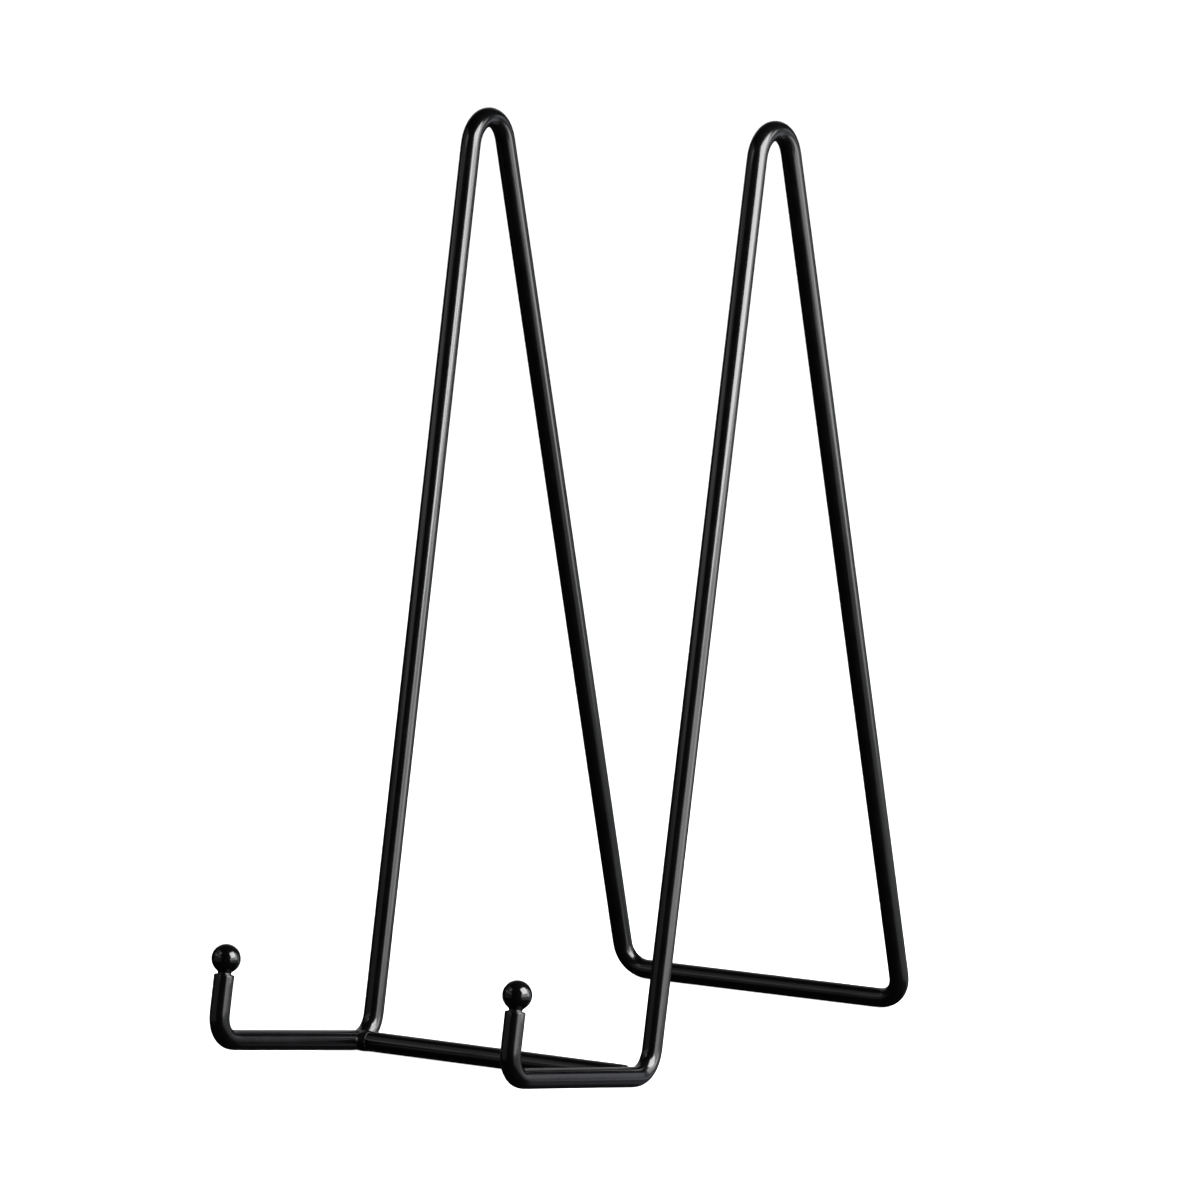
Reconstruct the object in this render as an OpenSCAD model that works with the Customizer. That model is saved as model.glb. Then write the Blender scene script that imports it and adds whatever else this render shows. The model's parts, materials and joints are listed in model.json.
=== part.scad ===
// Photo album stand: a free-standing easel of bent round rod.
//
// One long rod is bent into both side frames and the rear bar. Each side frame
// is a riser, a foot, a front leg, a hairpin apex and a rear leg. A straight
// crossbar is butt-welded between the two front corners, and a ball is welded
// on the end of each riser. The album stands on the feet, behind the risers,
// and leans back against the front legs.
//
// +Z is up and the album faces -Y. The origin is on the table, under the middle
// of the stand. The stand rests on its crossbar and its rear bar, and the feet
// rise a little towards their tips. It is symmetric in X.

/* [Rod] */
// Diameter of the rod, with its paint
rod_d = 4.4; // [3.4:0.1:5]
// Chamfer on the rim of each riser's end
rim_chamfer = 0.3; // [0.1:0.05:0.5]

/* [Front legs and feet] */
// Distance between the two front corners, from centre to centre
corner_spacing = 73; // [60:1:110]
// Length of a front leg, from the front corner to the apex, both unrounded
front_leg = 227.5; // [200:0.5:300]
// How far the front legs lean back from upright, in degrees
front_lean = 11.7; // [8:0.1:18]
// Length of a foot, from the front corner to the hook corner, both unrounded
foot_length = 55; // [40:1:80]
// How far the feet rise towards their tips, in degrees
foot_rise = 9; // [6:0.5:14]

/* [Hooks] */
// Distance from the unrounded hook corner to the middle of the ball
hook_height = 17.4; // [15:0.1:24]
// How far the risers lean back from upright, in degrees
riser_lean = 11.7; // [8:0.1:18]
// Diameter of each ball
ball_d = 6.3; // [5.2:0.1:7]

/* [Rear] */
// Distance from the unrounded front corner back to the rear bar
base_depth = 101; // [90:1:140]

/* [Spread] */
// How much further out each hook stands than its front corner
hook_spread = 1.1; // [0:0.1:2]
// How much further out each apex stands than its front corner
apex_spread = 1; // [0:0.1:2]
// How much further out each rear corner stands than its front corner
rear_spread = 0.7; // [0:0.1:2]

/* [Bends] */
// Radius of the hook bends, at the rod's centre line
hook_bend = 5.2; // [5:0.1:7]
// Radius of the front corners, at the rod's centre line
front_bend = 6; // [5:0.1:9]
// Radius of the apexes, at the rod's centre line
apex_bend = 6.8; // [5:0.1:9]
// Radius of the rear corners, at the rod's centre line
rear_bend = 5.7; // [5:0.1:9]

/* [Welds] */
// How far a crossbar weld stands out round the crossbar
bead_height = 0.3; // [0.2:0.05:0.8]
// How far a crossbar weld reaches along the crossbar
bead_length = 1.4; // [1:0.1:2.5]
// Gap between each ball and the end of its riser, which the weld fills
ball_gap = 0.2; // [0.1:0.05:0.4]
// Diameter of a ball weld, where it meets the riser
neck_d = 2.8; // [1.6:0.1:2.8]

/* [Hidden] */
$fn = 64;

paint = [0.05, 0.05, 0.055];
weld_paint = [0.08, 0.08, 0.085];

rod_r = rod_d / 2;

// Bending has stretched the rod a hair thinner in its bends.
bend_rod_r = rod_r - 0.04;

// How far each straight stretch runs on into the bends at its ends.
overlap = 0.1;

function unit(v) = v / norm(v);

// The angle inside a corner, between the lines to the points before and after it.
function corner_angle(before, corner, after) =
    acos(unit(before - corner) * unit(after - corner));

// The centre of the bend that rounds a corner.
function bend_centre(before, corner, after, radius) =
    corner
    + unit(unit(before - corner) + unit(after - corner))
        * radius / sin(corner_angle(before, corner, after) / 2);

// The length that a bend takes off each of the two lines that it joins.
function bend_trim(before, corner, after, radius) =
    radius / tan(corner_angle(before, corner, after) / 2);

// How far a circle reaches from its centre along an axis, as a share of its radius.
// normal is the circle's normal, and axis is 0, 1 or 2 for X, Y or Z.
function reach(normal, axis) = sqrt(1 - pow(normal[axis], 2));

// Directions in a side frame, whose risers, feet and legs keep nearly to one plane.
leg_dir = [0, sin(front_lean), cos(front_lean)];
foot_dir = [0, -cos(foot_rise), sin(foot_rise)];
riser_dir = [0, sin(riser_lean), cos(riser_lean)];

// The right side frame's unrounded corners, with y and z measured from its front corner.
front_corner = [corner_spacing / 2, 0, 0];
hook_corner = front_corner + foot_dir * foot_length + [hook_spread, 0, 0];
apex = front_corner + leg_dir * front_leg + [apex_spread, 0, 0];
ball_centre = hook_corner + riser_dir * hook_height;
riser_end = ball_centre - riser_dir * (ball_d / 2 + ball_gap);

// The crossbar joins the front bends at their lowest points, and the rear bar is
// level with it.
front_normal = unit(cross(hook_corner - front_corner, apex - front_corner));
front_centre = bend_centre(hook_corner, front_corner, apex, front_bend);
lowest = front_centre + front_bend * unit(front_normal * front_normal[2] - [0, 0, 1]);
rear_corner = front_corner + [rear_spread, base_depth, lowest[2]];

// The stand reaches from the round of the hook bends to the back of the rear bar.
hook_normal = unit(cross(riser_end - hook_corner, front_corner - hook_corner));
hook_centre = bend_centre(riser_end, hook_corner, front_corner, hook_bend);
front_y = hook_centre[1] - hook_bend * reach(hook_normal, 1) - bend_rod_r;
rear_y = base_depth + rod_r;

// From the front corner's frame to the stand's own, which stands on the table.
to_origin = [0, -(front_y + rear_y) / 2, rod_r - lowest[2]];

// The same point of the left side frame for -1, or of the right one for 1.
function on_side(side, p) = [side * p[0], p[1], p[2]];

// The unrounded corners of a side frame, from the riser's end to the rear corner.
function side_points(side) = [
    for (p = [riser_end, hook_corner, front_corner, apex, rear_corner])
        on_side(side, p + to_origin)
];
side_bends = [0, hook_bend, front_bend, apex_bend, rear_bend];

function reversed(list) = [for (i = [len(list) - 1:-1:0]) list[i]];

// The whole rod, from the left riser's end to the right one's.
wire_points = concat(side_points(-1), reversed(side_points(1)));
wire_bends = concat(side_bends, reversed(side_bends));
last = len(wire_points) - 1;

function trim_at(i) =
    i == 0 || i == last
        ? 0
        : bend_trim(wire_points[i - 1], wire_points[i], wire_points[i + 1], wire_bends[i]);

// Stands its children, which are drawn along +Z, on a point and along a direction.
module along(from, direction) {
    d = unit(direction);
    translate(from)
        rotate([0, acos(d[2]), atan2(d[1], d[0])])
            children();
}

// Moves its children to an origin, with their +X and +Y along two unit vectors.
module at_frame(origin, x, y) {
    z = cross(x, y);
    multmatrix([
        [x[0], y[0], z[0], origin[0]],
        [x[1], y[1], z[1], origin[1]],
        [x[2], y[2], z[2], origin[2]]
    ])
        children();
}

// The stretch of rod between two corners' bends.
module straight(i) {
    a = wire_points[i];
    b = wire_points[i + 1];
    from = a + unit(b - a) * (trim_at(i) - overlap);
    to = b - unit(b - a) * (trim_at(i + 1) - overlap);
    along(from, to - from) cylinder(h = norm(to - from), r = rod_r);
}

// The last stretch of rod at either end, with its chamfered rim.
module riser(end, corner, trim) {
    length = norm(end - corner) - trim + overlap;
    along(end, corner - end)
        rotate_extrude()
            polygon([
                [0, 0],
                [rod_r - rim_chamfer, 0],
                [rod_r, rim_chamfer],
                [rod_r, length],
                [0, length]
            ]);
}

// The bend at a corner, between the stretches beside it.
module corner(i) {
    before = wire_points[i - 1];
    c = wire_points[i];
    after = wire_points[i + 1];
    centre = bend_centre(before, c, after, wire_bends[i]);
    back = unit(before - c);
    start = c + back * trim_at(i);
    at_frame(centre, unit(start - centre), -back)
        rotate_extrude(angle = 180 - corner_angle(before, c, after))
            translate([wire_bends[i], 0])
                circle(r = bend_rod_r);
}

module frame_wire() {
    color(paint) {
        riser(wire_points[0], wire_points[1], trim_at(1));
        riser(wire_points[last], wire_points[last - 1], trim_at(last - 1));
        for (i = [1:last - 2]) straight(i);
        for (i = [1:last - 1]) corner(i);
    }
}

// The crossbar's ends are cut square, and touch the insides of the front bends.
crossbar_end = lowest + to_origin - [bend_rod_r, 0, 0];

module front_crossbar() {
    color(paint)
        translate(on_side(-1, crossbar_end))
            rotate([0, 90, 0])
                cylinder(h = 2 * crossbar_end[0], r = rod_r);
}

// The round of a front corner, carried on to a whole ring, to cut a weld to it.
module front_corner_ring(side) {
    centre = on_side(side, front_centre + to_origin);
    bottom = on_side(side, lowest + to_origin);
    normal = on_side(side, front_normal);
    down = unit(bottom - centre);
    at_frame(centre, down, unit(cross(normal, down)))
        rotate_extrude()
            translate([front_bend, 0])
                circle(r = bend_rod_r);
}

// A low ring of weld round the crossbar's end. It closes the gap between the
// square end and the round of the corner, and is dressed off clear of the table.
module crossbar_weld(side) {
    toe = 0.1;
    shoulder = 1.2;
    table_clearance = 0.05;
    color(weld_paint)
        difference() {
            translate(on_side(side, crossbar_end))
                rotate([0, side * 90, 0])
                    rotate_extrude()
                        polygon([
                            [0, -bead_length],
                            [rod_r + toe, -bead_length],
                            [rod_r + bead_height, 0],
                            [rod_r - toe, shoulder],
                            [0, shoulder]
                        ]);
            front_corner_ring(side);
            front_crossbar();
            translate([-corner_spacing, -corner_spacing, table_clearance - rod_d])
                cube([2 * corner_spacing, 2 * corner_spacing, rod_d]);
        }
}

module left_crossbar_weld() {
    crossbar_weld(-1);
}

module right_crossbar_weld() {
    crossbar_weld(1);
}

module ball(side) {
    color(paint)
        translate(on_side(side, ball_centre + to_origin))
            sphere(d = ball_d);
}

module left_ball() {
    ball(-1);
}

module right_ball() {
    ball(1);
}

// The neck of weld between a riser's end and its ball, wider at the ball.
module ball_weld(side) {
    flare = 0.6;
    height = 1;
    color(weld_paint)
        difference() {
            along(on_side(side, riser_end + to_origin), riser_dir)
                cylinder(h = height, d1 = neck_d, d2 = neck_d + flare);
            ball(side);
        }
}

module left_ball_weld() {
    ball_weld(-1);
}

module right_ball_weld() {
    ball_weld(1);
}

frame_wire();
front_crossbar();
left_ball();
right_ball();
left_crossbar_weld();
right_crossbar_weld();
left_ball_weld();
right_ball_weld();
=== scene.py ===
"""The photo album stand's looks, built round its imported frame, in metres.

One long rod is swept along the route that the frame gives: two hooks, feet, front legs,
hairpin apexes and rear legs, and the rear bar. The crossbar, the two balls and the four
welds are pieces of their own. Everything is painted gloss black.
"""

import json
import math

import bpy
import numpy as np
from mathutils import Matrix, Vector


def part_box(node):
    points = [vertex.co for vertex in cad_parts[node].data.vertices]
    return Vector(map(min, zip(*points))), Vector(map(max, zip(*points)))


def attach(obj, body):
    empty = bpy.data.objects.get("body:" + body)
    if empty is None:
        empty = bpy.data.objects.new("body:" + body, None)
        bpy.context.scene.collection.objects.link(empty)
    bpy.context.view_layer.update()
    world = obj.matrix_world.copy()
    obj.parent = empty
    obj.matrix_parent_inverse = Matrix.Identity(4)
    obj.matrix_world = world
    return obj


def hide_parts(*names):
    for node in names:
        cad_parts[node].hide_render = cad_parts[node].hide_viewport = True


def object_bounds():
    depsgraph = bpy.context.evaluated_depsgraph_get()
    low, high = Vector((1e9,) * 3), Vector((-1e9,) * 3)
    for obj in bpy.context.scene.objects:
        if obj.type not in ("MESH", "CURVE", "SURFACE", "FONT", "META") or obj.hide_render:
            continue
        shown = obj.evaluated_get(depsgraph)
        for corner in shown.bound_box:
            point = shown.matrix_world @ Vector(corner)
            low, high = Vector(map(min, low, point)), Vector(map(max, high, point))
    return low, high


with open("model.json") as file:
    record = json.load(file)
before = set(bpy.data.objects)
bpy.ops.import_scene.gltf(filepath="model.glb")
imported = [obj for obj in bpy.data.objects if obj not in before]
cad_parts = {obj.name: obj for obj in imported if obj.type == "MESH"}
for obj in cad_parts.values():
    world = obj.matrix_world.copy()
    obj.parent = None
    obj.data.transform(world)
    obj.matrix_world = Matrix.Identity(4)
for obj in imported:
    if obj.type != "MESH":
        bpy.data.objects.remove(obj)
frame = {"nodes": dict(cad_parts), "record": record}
CAD_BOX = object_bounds()

MM = 0.001
# Vertices round the rod, round a ball or its neck, round a crossbar weld and round the floor
ROD_SIDES = 48
BALL_SIDES = 64
WELD_SIDES = 96
FLOOR_SIDES = 96

# Radii of the rod's bends, at its centre line
HOOK_BEND = 5.2 * MM
FRONT_BEND = 6.0 * MM
APEX_BEND = 6.8 * MM
REAR_BEND = 5.7 * MM
# How much thinner the outside of a bend is than the rest of the rod
BEND_THINNING = 0.07 * MM
# Over what length a straight eases into a bend
BEND_EASE = 0.7 * MM
# Round of the rims at the bent rod's ends, and at the crossbar's
RIM = 0.35 * MM
BAR_RIM = 0.15 * MM
# How much the crossbar's right end is cut short, and how far its weld dips above it
BAR_SHORT = 0.9 * MM
WELD_DIP = 0.65 * MM
# Gap between a riser's end and its ball
BALL_GAP = 0.2 * MM


# ---------------------------------------------------------------- the frame's sizes

def unit(v):
    """The direction of a vector."""
    return v / np.linalg.norm(v)


def box(node):
    """The low and high corners of a CAD node's box."""
    low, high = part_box(node)
    return np.array(low), np.array(high)


def mount(name):
    """A mount's point on the rod's surface, and the direction it faces."""
    found = next(m for m in frame["record"]["mounts"] if m["name"] == name)
    return np.array(found["pos_m"], float), np.array(found["axis"], float)


def centre_line(name):
    """The middle of the rod under a mount, and the rod's direction there, in the YZ plane."""
    point, out = mount(name)
    return point - out * ROD_R, unit(np.array([0, out[2], -out[1]]))


def crossing(line_a, line_b):
    """Where two lines cross, seen along X."""
    (p, d), (q, e) = line_a, line_b
    along_a, _ = np.linalg.solve(np.array([d[1:], -e[1:]]).T, (q - p)[1:])
    return p + d * along_a


BAR_LOW, BAR_HIGH = box("front_crossbar")
ROD_R = (BAR_HIGH[2] - BAR_LOW[2]) / 2
BAR_MIDDLE = (BAR_LOW + BAR_HIGH) / 2
WIRE_HIGH = box("frame_wire")[1]
BALL_LOW, BALL_HIGH = box("right_ball")
BALL_CENTRE = (BALL_LOW + BALL_HIGH) / 2
BALL_R = (BALL_HIGH[0] - BALL_LOW[0]) / 2


def bend_centre(before, corner, after, radius):
    """The centre of the bend that rounds a corner."""
    u, v = unit(before - corner), unit(after - corner)
    half = math.acos(u @ v) / 2
    return corner + unit(u + v) * radius / math.sin(half)


def apex_on(leg, rear_corner):
    """The point up the front leg's line at which the bend over it just reaches the frame's top."""
    low, high = 0.0, WIRE_HIGH[2]
    for _ in range(40):
        middle = (low + high) / 2
        apex = leg[0] + leg[1] * middle
        bend = bend_centre(leg[0], apex, rear_corner, APEX_BEND)
        if bend[2] + APEX_BEND + ROD_R > WIRE_HIGH[2]:
            high = middle
        else:
            low = middle
    return apex


def right_corners():
    """The right side frame's corners before they are rounded, from the riser's end to the rear."""
    riser = centre_line("right_riser_back")
    foot = centre_line("right_foot_top")
    leg = centre_line("right_leg_front")
    wire = frame["nodes"]["frame_wire"].data.vertices
    rear_x = max(v.co.x for v in wire if v.co.y > WIRE_HIGH[1] - 2 * ROD_R) - ROD_R
    rear = np.array([rear_x, WIRE_HIGH[1] - ROD_R, BAR_MIDDLE[2]])
    up = riser[1] * np.sign(riser[1][2])
    end = BALL_CENTRE - up * (BALL_R + BALL_GAP)
    hook = crossing((BALL_CENTRE, up), foot)
    front = crossing(foot, leg)
    apex = apex_on(leg, rear)
    # The mounts on the foot and the leg stand half-way between their corners.
    hook[0] = BALL_CENTRE[0]
    front[0] = 2 * foot[0][0] - hook[0]
    apex[0] = 2 * leg[0][0] - front[0]
    return [end, hook, front, apex, rear], up


RIGHT_CORNERS, RISER_UP = right_corners()
SIDE_BENDS = [0, HOOK_BEND, FRONT_BEND, APEX_BEND, REAR_BEND]


def on_side(side, point):
    """A point or direction of the right side, or for -1 its mirror image on the left."""
    return np.array([side * point[0], point[1], point[2]])


# ---------------------------------------------------------------- meshes

def mesh_object(name, vertices, faces):
    """A smooth-shaded mesh, put in the scene."""
    mesh = bpy.data.meshes.new(name)
    mesh.from_pydata([tuple(v) for v in vertices], [], faces)
    mesh.validate()
    mesh.shade_smooth()
    piece = bpy.data.objects.new(name, mesh)
    bpy.context.scene.collection.objects.link(piece)
    return piece


def tube_faces(rings, sides, closed=False):
    """The quads between rings of vertices; a closed tube's last ring joins its first."""
    faces = []
    for i in range(rings if closed else rings - 1):
        a, b = i * sides, (i + 1) % rings * sides
        for j in range(sides):
            k = (j + 1) % sides
            faces.append((a + j, a + k, b + k, b + j))
    return faces


def capped(name, rings):
    """A closed mesh over a list of rings, whose two ends are closed by fans."""
    sides = len(rings[0])
    vertices = [p for ring in rings for p in ring]
    faces = tube_faces(len(rings), sides)
    last = (len(rings) - 1) * sides
    for first, centre, turn in ((0, len(vertices), 1), (last, len(vertices) + 1, -1)):
        vertices.append(np.mean(rings[0] if turn == 1 else rings[-1], axis=0))
        for j in range(sides):
            pair = (first + (j + 1) % sides, first + j)
            faces.append((centre, *pair[::turn]))
    return mesh_object(name, vertices, faces)


def line(start, end, step):
    """Points along a straight, without its last."""
    count = max(2, int(np.linalg.norm(end - start) / step))
    return start + (end - start) * np.linspace(0, 1, count, endpoint=False)[:, None]


def dense_route(corners, bends, step):
    """Points close together along straights and round bends, eased where they meet."""
    stretches = []
    leaving = corners[0]
    for before, corner, after, radius in zip(corners, corners[1:], corners[2:], bends[1:]):
        u, v = unit(before - corner), unit(after - corner)
        angle = math.acos(u @ v)
        start = corner + u * radius / math.tan(angle / 2)
        centre = bend_centre(before, corner, after, radius)
        turn = np.arange(0, math.pi - angle, step / radius)[:, None]
        stretches.append(line(leaving, start, step))
        stretches.append(centre + (start - centre) * np.cos(turn) - u * radius * np.sin(turn))
        leaving = corner + v * radius / math.tan(angle / 2)
    stretches.append(line(leaving, corners[-1], step))
    stretches.append(corners[-1][None])
    points = np.vstack(stretches)
    reach = int(3 * BEND_EASE / step)
    kernel = np.exp(-0.5 * (np.arange(-reach, reach + 1) * step / BEND_EASE) ** 2)
    kernel /= kernel.sum()
    ahead = points[0] + (points[0] - points[1:reach + 1])[::-1]
    behind = points[-1] + (points[-1] - points[-reach - 1:-1])[::-1]
    padded = np.vstack([ahead, points, behind])
    return np.stack([np.convolve(padded[:, i], kernel, "valid") for i in range(3)], axis=1)


def ring_stations(points, straight_step, turn_step):
    """Fewer points, close together in bends, with their tangents and curvature vectors."""
    length = np.concatenate([[0], np.cumsum(np.linalg.norm(np.diff(points, axis=0), axis=1))])
    tangent = np.gradient(points, length, axis=0)
    tangent /= np.linalg.norm(tangent, axis=1)[:, None]
    bending = np.gradient(tangent, length, axis=0)
    density = 1 / straight_step + np.linalg.norm(bending, axis=1) / turn_step
    share = np.concatenate([[0], np.cumsum((density[1:] + density[:-1]) / 2 * np.diff(length))])
    at = np.interp(np.linspace(0, share[-1], int(share[-1]) + 1), share, length)
    return [np.stack([np.interp(at, length, a[:, i]) for i in range(3)], axis=1)
            for a in (points, tangent, bending)]


def carried_frames(tangent):
    """Two directions across the rod at each station, which don't twist along it."""
    across = unit(np.cross(tangent[0], [1.0, 0.2, 0.1]))
    frames = []
    for t in tangent:
        across = unit(across - (across @ t) * t)
        frames.append((across, np.cross(unit(t), across)))
    return frames


ANGLES = np.linspace(0, 2 * math.pi, ROD_SIDES, endpoint=False)


def rod_ring(centre, frame_pair, radius, bending):
    """One ring of the rod. The outside of a bend is drawn thinner, as bending leaves it."""
    out = np.outer(np.cos(ANGLES), frame_pair[0]) + np.outer(np.sin(ANGLES), frame_pair[1])
    bend = np.linalg.norm(bending)
    outside = np.clip(-(out @ bending) / max(bend, 1e-6), 0, 1) ** 2
    thinning = BEND_THINNING * min(1.0, bend * HOOK_BEND) * outside
    return centre + out * (radius - thinning)[:, None]


def rounded_end(centre, tangent, frame_pair, radius, rim):
    """Rings from the middle of a square end out over its rounded rim, for the end at centre."""
    straight = np.zeros(3)
    rings = [rod_ring(centre, frame_pair, radius * s, straight) for s in (0.15, 0.5, 0.78)]
    for turn in np.linspace(0, math.pi / 2, 7):
        inward = tangent * rim * (1 - math.cos(turn))
        ring_r = radius - rim + rim * math.sin(turn)
        rings.append(rod_ring(centre + inward, frame_pair, ring_r, straight))
    return rings


def swept_rod(name, corners, bends, rim):
    """A rod along a route with rounded corners, and with a rounded rim at each end."""
    points = dense_route(corners, bends, step=0.1 * MM)
    centres, tangent, bending = ring_stations(
        points, straight_step=2.5 * MM, turn_step=math.radians(4))
    frames = carried_frames(tangent)
    clear_of_rim = 1.5 * rim
    keep = [i for i, c in enumerate(centres)
            if min(np.linalg.norm(c - centres[0]), np.linalg.norm(c - centres[-1])) > clear_of_rim]
    rings = rounded_end(centres[0], tangent[0], frames[0], ROD_R, rim)
    rings += [rod_ring(centres[i], frames[i], ROD_R, bending[i]) for i in keep]
    rings += rounded_end(centres[-1], -tangent[-1], frames[-1], ROD_R, rim)[::-1]
    return capped(name, rings)


def revolved(name, base, up, profile, ripple=None):
    """A closed mesh turned about a line through base along up. profile holds (radius, height)."""
    side_a = unit(np.cross(up, [1.0, 0.0, 0.3]))
    side_b = np.cross(up, side_a)
    rings = []
    for radius, height in profile:
        ring = []
        for j in range(BALL_SIDES):
            turn = 2 * math.pi * j / BALL_SIDES
            r = radius * (1 + (ripple(turn, height) if ripple else 0))
            out = side_a * math.cos(turn) + side_b * math.sin(turn)
            ring.append(base + up * height + r * out)
        rings.append(np.array(ring))
    return capped(name, rings)


# ---------------------------------------------------------------- the pieces

def bent_rod():
    """The long rod, from the left riser's end to the right one's."""
    left = [on_side(-1, c) for c in RIGHT_CORNERS]
    corners = left + RIGHT_CORNERS[::-1]
    bends = SIDE_BENDS + SIDE_BENDS[::-1]
    return swept_rod("bent_rod", corners, bends, RIM)


def crossbar():
    """The bar, whose right end is cut a little short, so that its weld dips there."""
    ends = [np.array([x, BAR_MIDDLE[1], BAR_MIDDLE[2]])
            for x in (BAR_LOW[0], BAR_HIGH[0] - BAR_SHORT)]
    return swept_rod("crossbar", ends, [0, 0], BAR_RIM)


def ball(side, name):
    """A ball, turned about its riser's line, with its rings closest near the poles."""
    rows = 40
    pole_r = BALL_R * 0.02
    profile = []
    for i in range(1, rows):
        turn = math.pi * i / rows
        profile.append((BALL_R * math.sin(turn), -BALL_R * math.cos(turn)))
    profile = [(pole_r, -BALL_R)] + profile + [(pole_r, BALL_R)]
    return revolved(name, on_side(side, BALL_CENTRE), on_side(side, RISER_UP), profile)


def ball_neck(side, name):
    """The weld between a riser's end and its ball: a waist that flares into both."""
    waist_r = 1.36 * MM
    toe_r = 1.6 * MM
    lip_r = 1.95 * MM
    # The height at which the lip meets the ball
    seat = BALL_GAP + BALL_R - math.sqrt(BALL_R ** 2 - lip_r ** 2)
    # The profile starts inside the riser and ends inside the ball.
    profile = [(0.3 * toe_r, -0.3 * MM), (toe_r, -0.25 * MM), (toe_r, 0)]
    steps = 14
    for i in range(1, steps + 1):
        t = i / steps
        toe = (toe_r - waist_r) * (1 - t) ** 5
        lip = (lip_r - waist_r) * t ** 2.2
        profile.append((waist_r + toe + lip, seat * t))
    profile += [(lip_r * 0.93, seat + 0.25 * MM), (0.3 * lip_r, seat + 0.6 * MM)]

    def ripple(turn, height):
        return 0.012 * math.sin(9 * turn + 3 * side + 2000 * height) + 0.01 * math.sin(4 * turn)

    end = on_side(side, RIGHT_CORNERS[0])
    return revolved(name, end, on_side(side, RISER_UP), profile, ripple)


def bar_weld(side, name):
    """The weld between the crossbar's square end and the inside of a round front bend.

    Each loop of the mesh is the weld's section at one turn about the crossbar: a curved skin
    from its toe on the bar to its toe on the bend, closed by a line that is tucked inside them.
    """
    across = 12
    bar_reach = 1.25 * MM
    flank_height = 0.75 * MM
    top_sink = 0.1 * MM
    swell = 0.1 * MM
    table = 0.05 * MM
    tuck = 0.2 * MM
    front_centre = bend_centre(*RIGHT_CORNERS[1:4], FRONT_BEND)
    bend_x = (BAR_MIDDLE[0] + BAR_HIGH[0]) + ROD_R
    loops = []
    for j in range(WELD_SIDES):
        turn = 2 * math.pi * j / WELD_SIDES
        out = np.array([0, math.cos(turn), math.sin(turn)])
        # 1 in front of the bar and behind it, and 0 above and below it
        flank = math.cos(turn) ** 2
        ripple = 0.03 * MM * math.sin(15 * turn + side) + 0.015 * MM * math.sin(7 * turn + 1)
        dip = max(side, 0) * WELD_DIP * (1 - flank)
        bar_toe = BAR_HIGH[0] - (bar_reach + 2 * ripple)
        bend_toe_r = ROD_R + flank_height * flank - top_sink * (1 - flank)
        toe = BAR_MIDDLE + out * bend_toe_r
        # How far the toe is from the bend's centre line, seen along X
        off = np.linalg.norm((toe - front_centre)[1:]) - FRONT_BEND
        sunk = math.sqrt(max(ROD_R ** 2 - off ** 2, (0.25 * ROD_R) ** 2))
        bend_toe = bend_x - sunk
        loop = []
        for i in range(across + 1):
            t = i / across
            x = bar_toe + (bend_toe - bar_toe) * t
            bulge = (swell + swell * flank + ripple - dip) * math.sin(math.pi * t)
            r = ROD_R + (bend_toe_r - ROD_R) * t ** 2 + bulge
            loop.append((x, r))
        loop.append((bend_toe + tuck, bend_toe_r - tuck - dip))
        loop.append((bar_toe + tuck, ROD_R - tuck - dip))
        ring = []
        for x, r in loop:
            point = BAR_MIDDLE + out * r
            ring.append((side * x, point[1], max(point[2], table)))
        loops.append(ring)
    vertices = [p for ring in loops for p in ring]
    faces = tube_faces(WELD_SIDES, len(loops[0]), closed=True)
    if side > 0:
        faces = [f[::-1] for f in faces]
    return mesh_object(name, vertices, faces)


# ---------------------------------------------------------------- paint

class Nodes:
    """A material's nodes, made and joined one at a time."""

    def __init__(self, name):
        self.material = bpy.data.materials.new(name)
        self.material.use_nodes = True
        self.tree = self.material.node_tree
        self.shader = self.tree.nodes["Principled BSDF"]
        self.place = self.tree.nodes.new("ShaderNodeTexCoord").outputs["Object"]

    def add(self, kind, **inputs):
        node = self.tree.nodes.new(kind)
        for name, value in inputs.items():
            self.feed(node.inputs[name.replace("_", " ")], value)
        return node

    def feed(self, socket, value):
        if isinstance(value, bpy.types.NodeSocket):
            self.tree.links.new(value, socket)
        else:
            socket.default_value = value

    def noise(self, scale, detail=2.0):
        return self.add("ShaderNodeTexNoise", Vector=self.place, Scale=scale,
                        Detail=detail, Roughness=0.5).outputs["Fac"]

    def ranged(self, value, low, high):
        """A noise's middle values, 0.3 to 0.7, spread from low to high."""
        return self.add("ShaderNodeMapRange", Value=value, From_Min=0.3, From_Max=0.7,
                        To_Min=low, To_Max=high).outputs["Result"]

    def mixed(self, share, a, b):
        """Two colours mixed. A mix node's colour sockets are 6 and 7, and its result is 2."""
        node = self.add("ShaderNodeMix")
        node.data_type = "RGBA"
        for index, value in ((0, share), (6, a), (7, b)):
            self.feed(node.inputs[index], value)
        return node.outputs[2]

    def bump(self, height, depth, strength, normal=None):
        node = self.add("ShaderNodeBump", Height=height, Strength=strength, Distance=depth)
        if normal is not None:
            self.feed(node.inputs["Normal"], normal)
        return node.outputs["Normal"]


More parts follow.
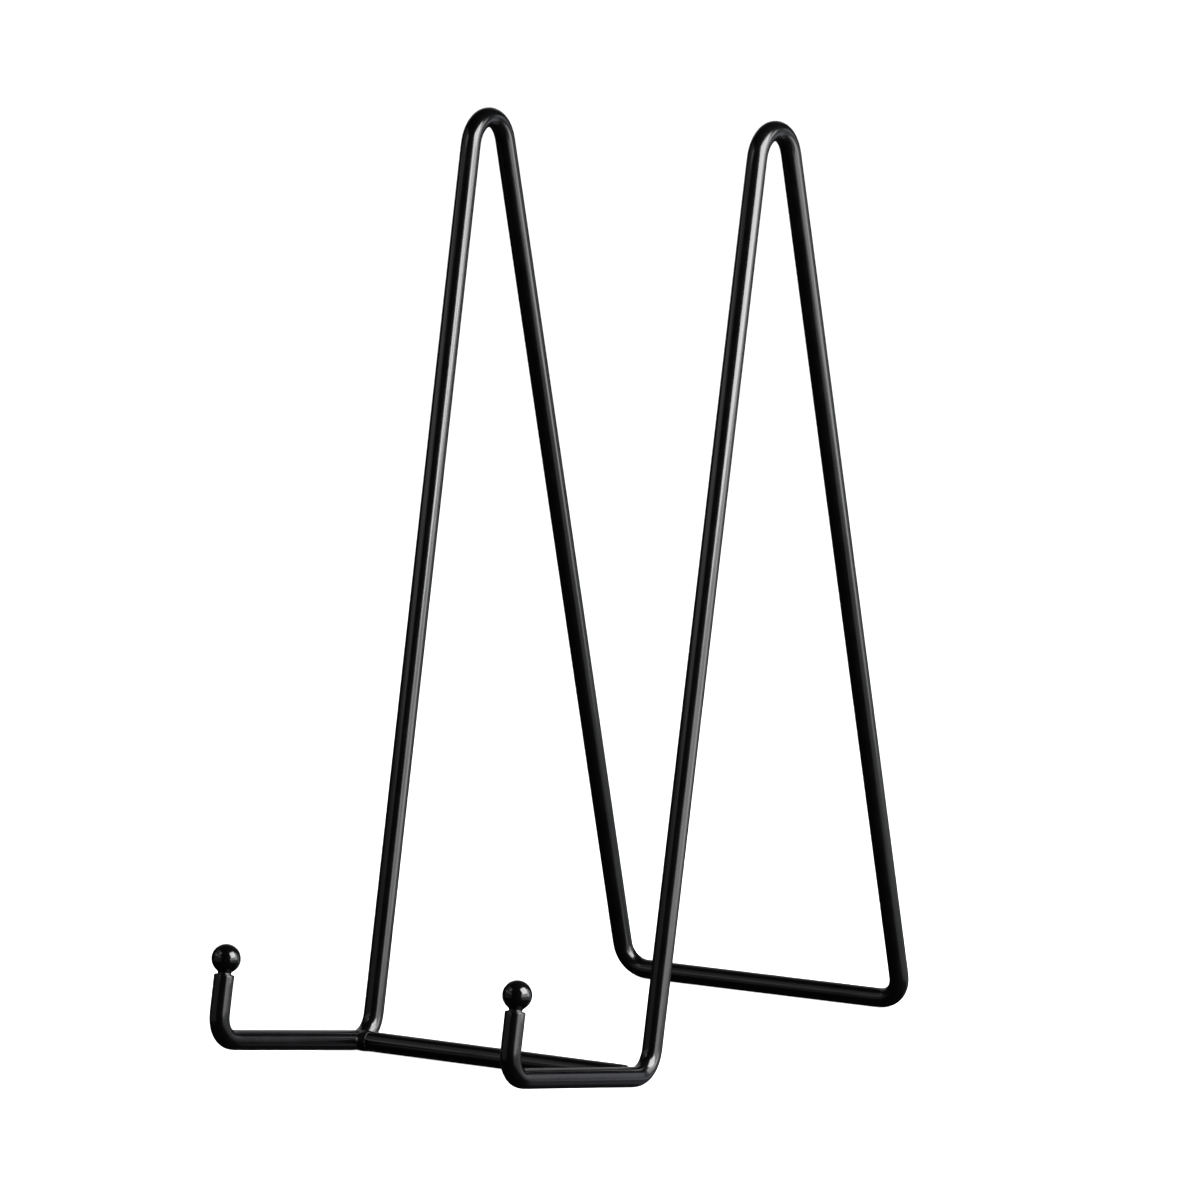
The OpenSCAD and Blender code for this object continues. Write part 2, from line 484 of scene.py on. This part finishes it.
def black_paint(name, tone, roughness, coat, peel):
    """Gloss black paint: mottled a little in tone and gloss, with an orange peel surface."""
    n = Nodes(name)
    dark = (0.55 * tone, 0.55 * tone, 0.6 * tone, 1)
    light = (1.5 * tone, 1.5 * tone, 1.75 * tone, 1)
    n.feed(n.shader.inputs["Base Color"], n.mixed(n.ranged(n.noise(260, 4), 0, 1), dark, light))
    n.feed(n.shader.inputs["Roughness"],
           n.ranged(n.noise(95, 3), 0.82 * roughness, 1.2 * roughness))
    # The orange peel: wide waves with finer ones on them
    waves = n.bump(n.noise(280, 1), 0.02 * MM, peel)
    n.feed(n.shader.inputs["Normal"], n.bump(n.noise(1150, 2), 0.006 * MM, peel, waves))
    n.shader.inputs["Coat Weight"].default_value = coat
    n.shader.inputs["Coat Roughness"].default_value = 0.07
    return n.material


def finished(piece, material, slot, *nodes):
    """Paints a piece and hands it to the frame."""
    piece.data.materials.append(material)
    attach(piece, "root")
    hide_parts(*nodes)


ROD_PAINT = black_paint("gloss_black_rod", tone=0.0015, roughness=0.2, coat=0.3, peel=0.8)
BALL_PAINT = black_paint("gloss_black_ball", tone=0.0015, roughness=0.15, coat=0.3, peel=0.4)
WELD_PAINT = black_paint("gloss_black_weld", tone=0.002, roughness=0.28, coat=0.2, peel=1.0)

finished(bent_rod(), ROD_PAINT, "rod_paint", "frame_wire")
finished(crossbar(), ROD_PAINT, "rod_paint", "front_crossbar")
for side, word in ((-1, "left"), (1, "right")):
    finished(ball(side, f"ball_{word}"), BALL_PAINT, "ball_paint", f"{word}_ball")
    finished(ball_neck(side, f"ball_neck_{word}"), WELD_PAINT, "weld_paint", f"{word}_ball_weld")
    finished(bar_weld(side, f"bar_weld_{word}"), WELD_PAINT, "weld_paint",
             f"{word}_crossbar_weld")


# ---------------------------------------------------------------- studio

MIDDLE = Vector((CAD_BOX[0] + CAD_BOX[1]) / 2)


def plain_white(name, glow):
    """A matt near-white, or with a glow the even white of a lit backdrop."""
    n = Nodes(name)
    white, paper = (0.87, 0.87, 0.87, 1), (0.85, 0.85, 0.85, 1)
    n.feed(n.shader.inputs["Base Color"], n.mixed(n.noise(3), white, paper))
    n.shader.inputs["Roughness"].default_value = 0.8
    n.shader.inputs["Specular IOR Level"].default_value = 0
    n.shader.inputs["Emission Color"].default_value = (1, 1, 1, 1)
    n.shader.inputs["Emission Strength"].default_value = glow
    return n.material


def round_of(radius, height):
    """A ring of points about the middle of the floor."""
    turns = np.linspace(0, 2 * math.pi, FLOOR_SIDES, endpoint=False)
    heights = np.full(FLOOR_SIDES, height)
    return np.stack([radius * np.cos(turns), radius * np.sin(turns), heights], axis=1)


def staged(piece, glow):
    """Part of the studio: the paint doesn't mirror it, and it keeps no lamp off the stand."""
    piece.data.materials.append(plain_white(piece.name, glow))
    piece.visible_glossy = False
    piece.visible_shadow = False
    piece.visible_diffuse = False


def studio():
    """A round white floor, and a white dome over it, so that every view ends in white."""
    radius = 12.0
    floor = [round_of(r, 0) for r in (0.5, 2, 6, radius)]
    middle = tuple(range(FLOOR_SIDES))[::-1]
    faces = tube_faces(len(floor), FLOOR_SIDES) + [middle]
    staged(mesh_object("floor", np.vstack(floor), faces), glow=0)
    turns = np.radians([0, 15, 30, 45, 60, 75, 88])
    dome = [round_of(radius * math.cos(t), radius * math.sin(t)) for t in turns]
    top = tuple((len(dome) - 1) * FLOOR_SIDES + j for j in range(FLOOR_SIDES))
    faces = tube_faces(len(dome), FLOOR_SIDES) + [top]
    staged(mesh_object("backdrop", np.vstack(dome), faces), glow=1.1)


def direction(azimuth, elevation):
    """A direction from the stand, in degrees. Azimuth 0 is in front, and 90 on its right."""
    a, e = math.radians(azimuth), math.radians(elevation)
    return Vector((math.sin(a) * math.cos(e), -math.cos(a) * math.cos(e), math.sin(e)))


def softbox(name, azimuth, elevation, distance, width, height, radiance, tint=(1, 1, 1)):
    """A soft light that faces the stand. Angles in degrees, lengths in metres."""
    away = direction(azimuth, elevation)
    light = bpy.data.lights.new(name, "AREA")
    light.shape = "RECTANGLE"
    light.size, light.size_y = width, height
    light.energy = radiance * math.pi * width * height
    light.color = tint
    lamp = bpy.data.objects.new(name, light)
    lamp.location = MIDDLE + away * distance
    lamp.rotation_euler = away.to_track_quat("Z", "Y").to_euler()
    bpy.context.scene.collection.objects.link(lamp)
    lamp.visible_camera = False


def floor_light():
    """Broad light from straight above for the floor alone, without a shadow of the stand."""
    light = bpy.data.lights.new("floor_light", "SUN")
    light.energy = 4.0
    light.angle = math.radians(60)
    lamp = bpy.data.objects.new("floor_light", light)
    bpy.context.scene.collection.objects.link(lamp)
    only_floor = bpy.data.collections.new("only_floor")
    only_floor.objects.link(bpy.data.objects["floor"])
    lamp.light_linking.receiver_collection = only_floor
    lamp.light_linking.blocker_collection = only_floor


def camera():
    """The camera, at the photograph's viewing angle."""
    data = bpy.data.cameras.new("camera")
    data.lens = 228.3
    data.sensor_width = 36
    data.clip_start, data.clip_end = 0.1, 60
    lens = bpy.data.objects.new("camera", data)
    back = direction(azimuth=34.083, elevation=7.659)
    distance = 1.66
    aim = MIDDLE + Vector((-1.7, 14.0, -4.5)) * MM
    lens.location = aim + back * distance
    lens.rotation_euler = back.to_track_quat("Z", "Y").to_euler()
    bpy.context.scene.collection.objects.link(lens)
    bpy.context.scene.camera = lens


def surroundings():
    """A very weak even light from all round."""
    world = bpy.data.worlds.new("surroundings")
    world.use_nodes = True
    background = world.node_tree.nodes["Background"]
    background.inputs["Color"].default_value = (1, 1, 1, 1)
    background.inputs["Strength"].default_value = 0.012
    bpy.context.scene.world = world


studio()
floor_light()
surroundings()
# The key and the four boxes beside it, on the right, draw the streaks on the legs, the bends
# and the balls. The rim, the back fill and the bounce are behind, and the fills on the left.
softbox("key", 91, 26, 0.47, 0.38, 0.36, 12.2)
softbox("key_wing", 124, 17, 0.6, 0.24, 0.24, 4)
softbox("key_skirt", 94, -2, 0.6, 0.72, 0.22, 2.8)
softbox("key_low", 100, -20, 0.6, 0.80, 0.25, 0.45)
softbox("key_edge", 125, -5, 0.6, 0.24, 0.22, 2.3)
softbox("rim", 154, -5, 2.0, 0.5, 1.4, 0.78, (0.87, 0.9, 1.0))
softbox("fill", -38, 14, 0.68, 0.8, 0.12, 0.55)
softbox("fill_high", -48, 30, 0.68, 0.6, 0.4, 0.2)
softbox("fill_spot", -26, 34, 0.68, 0.22, 0.2, 1.0)
softbox("fill_low", -35, -4, 0.7, 0.75, 0.36, 0.13)
softbox("back_fill", -142, 18, 0.9, 0.9, 0.6, 0.3)
softbox("bounce", 168, -34, 1.5, 0.9, 0.5, 0.16, (0.87, 0.9, 1.0))
camera()
bpy.context.scene.view_settings.view_transform = "Standard"
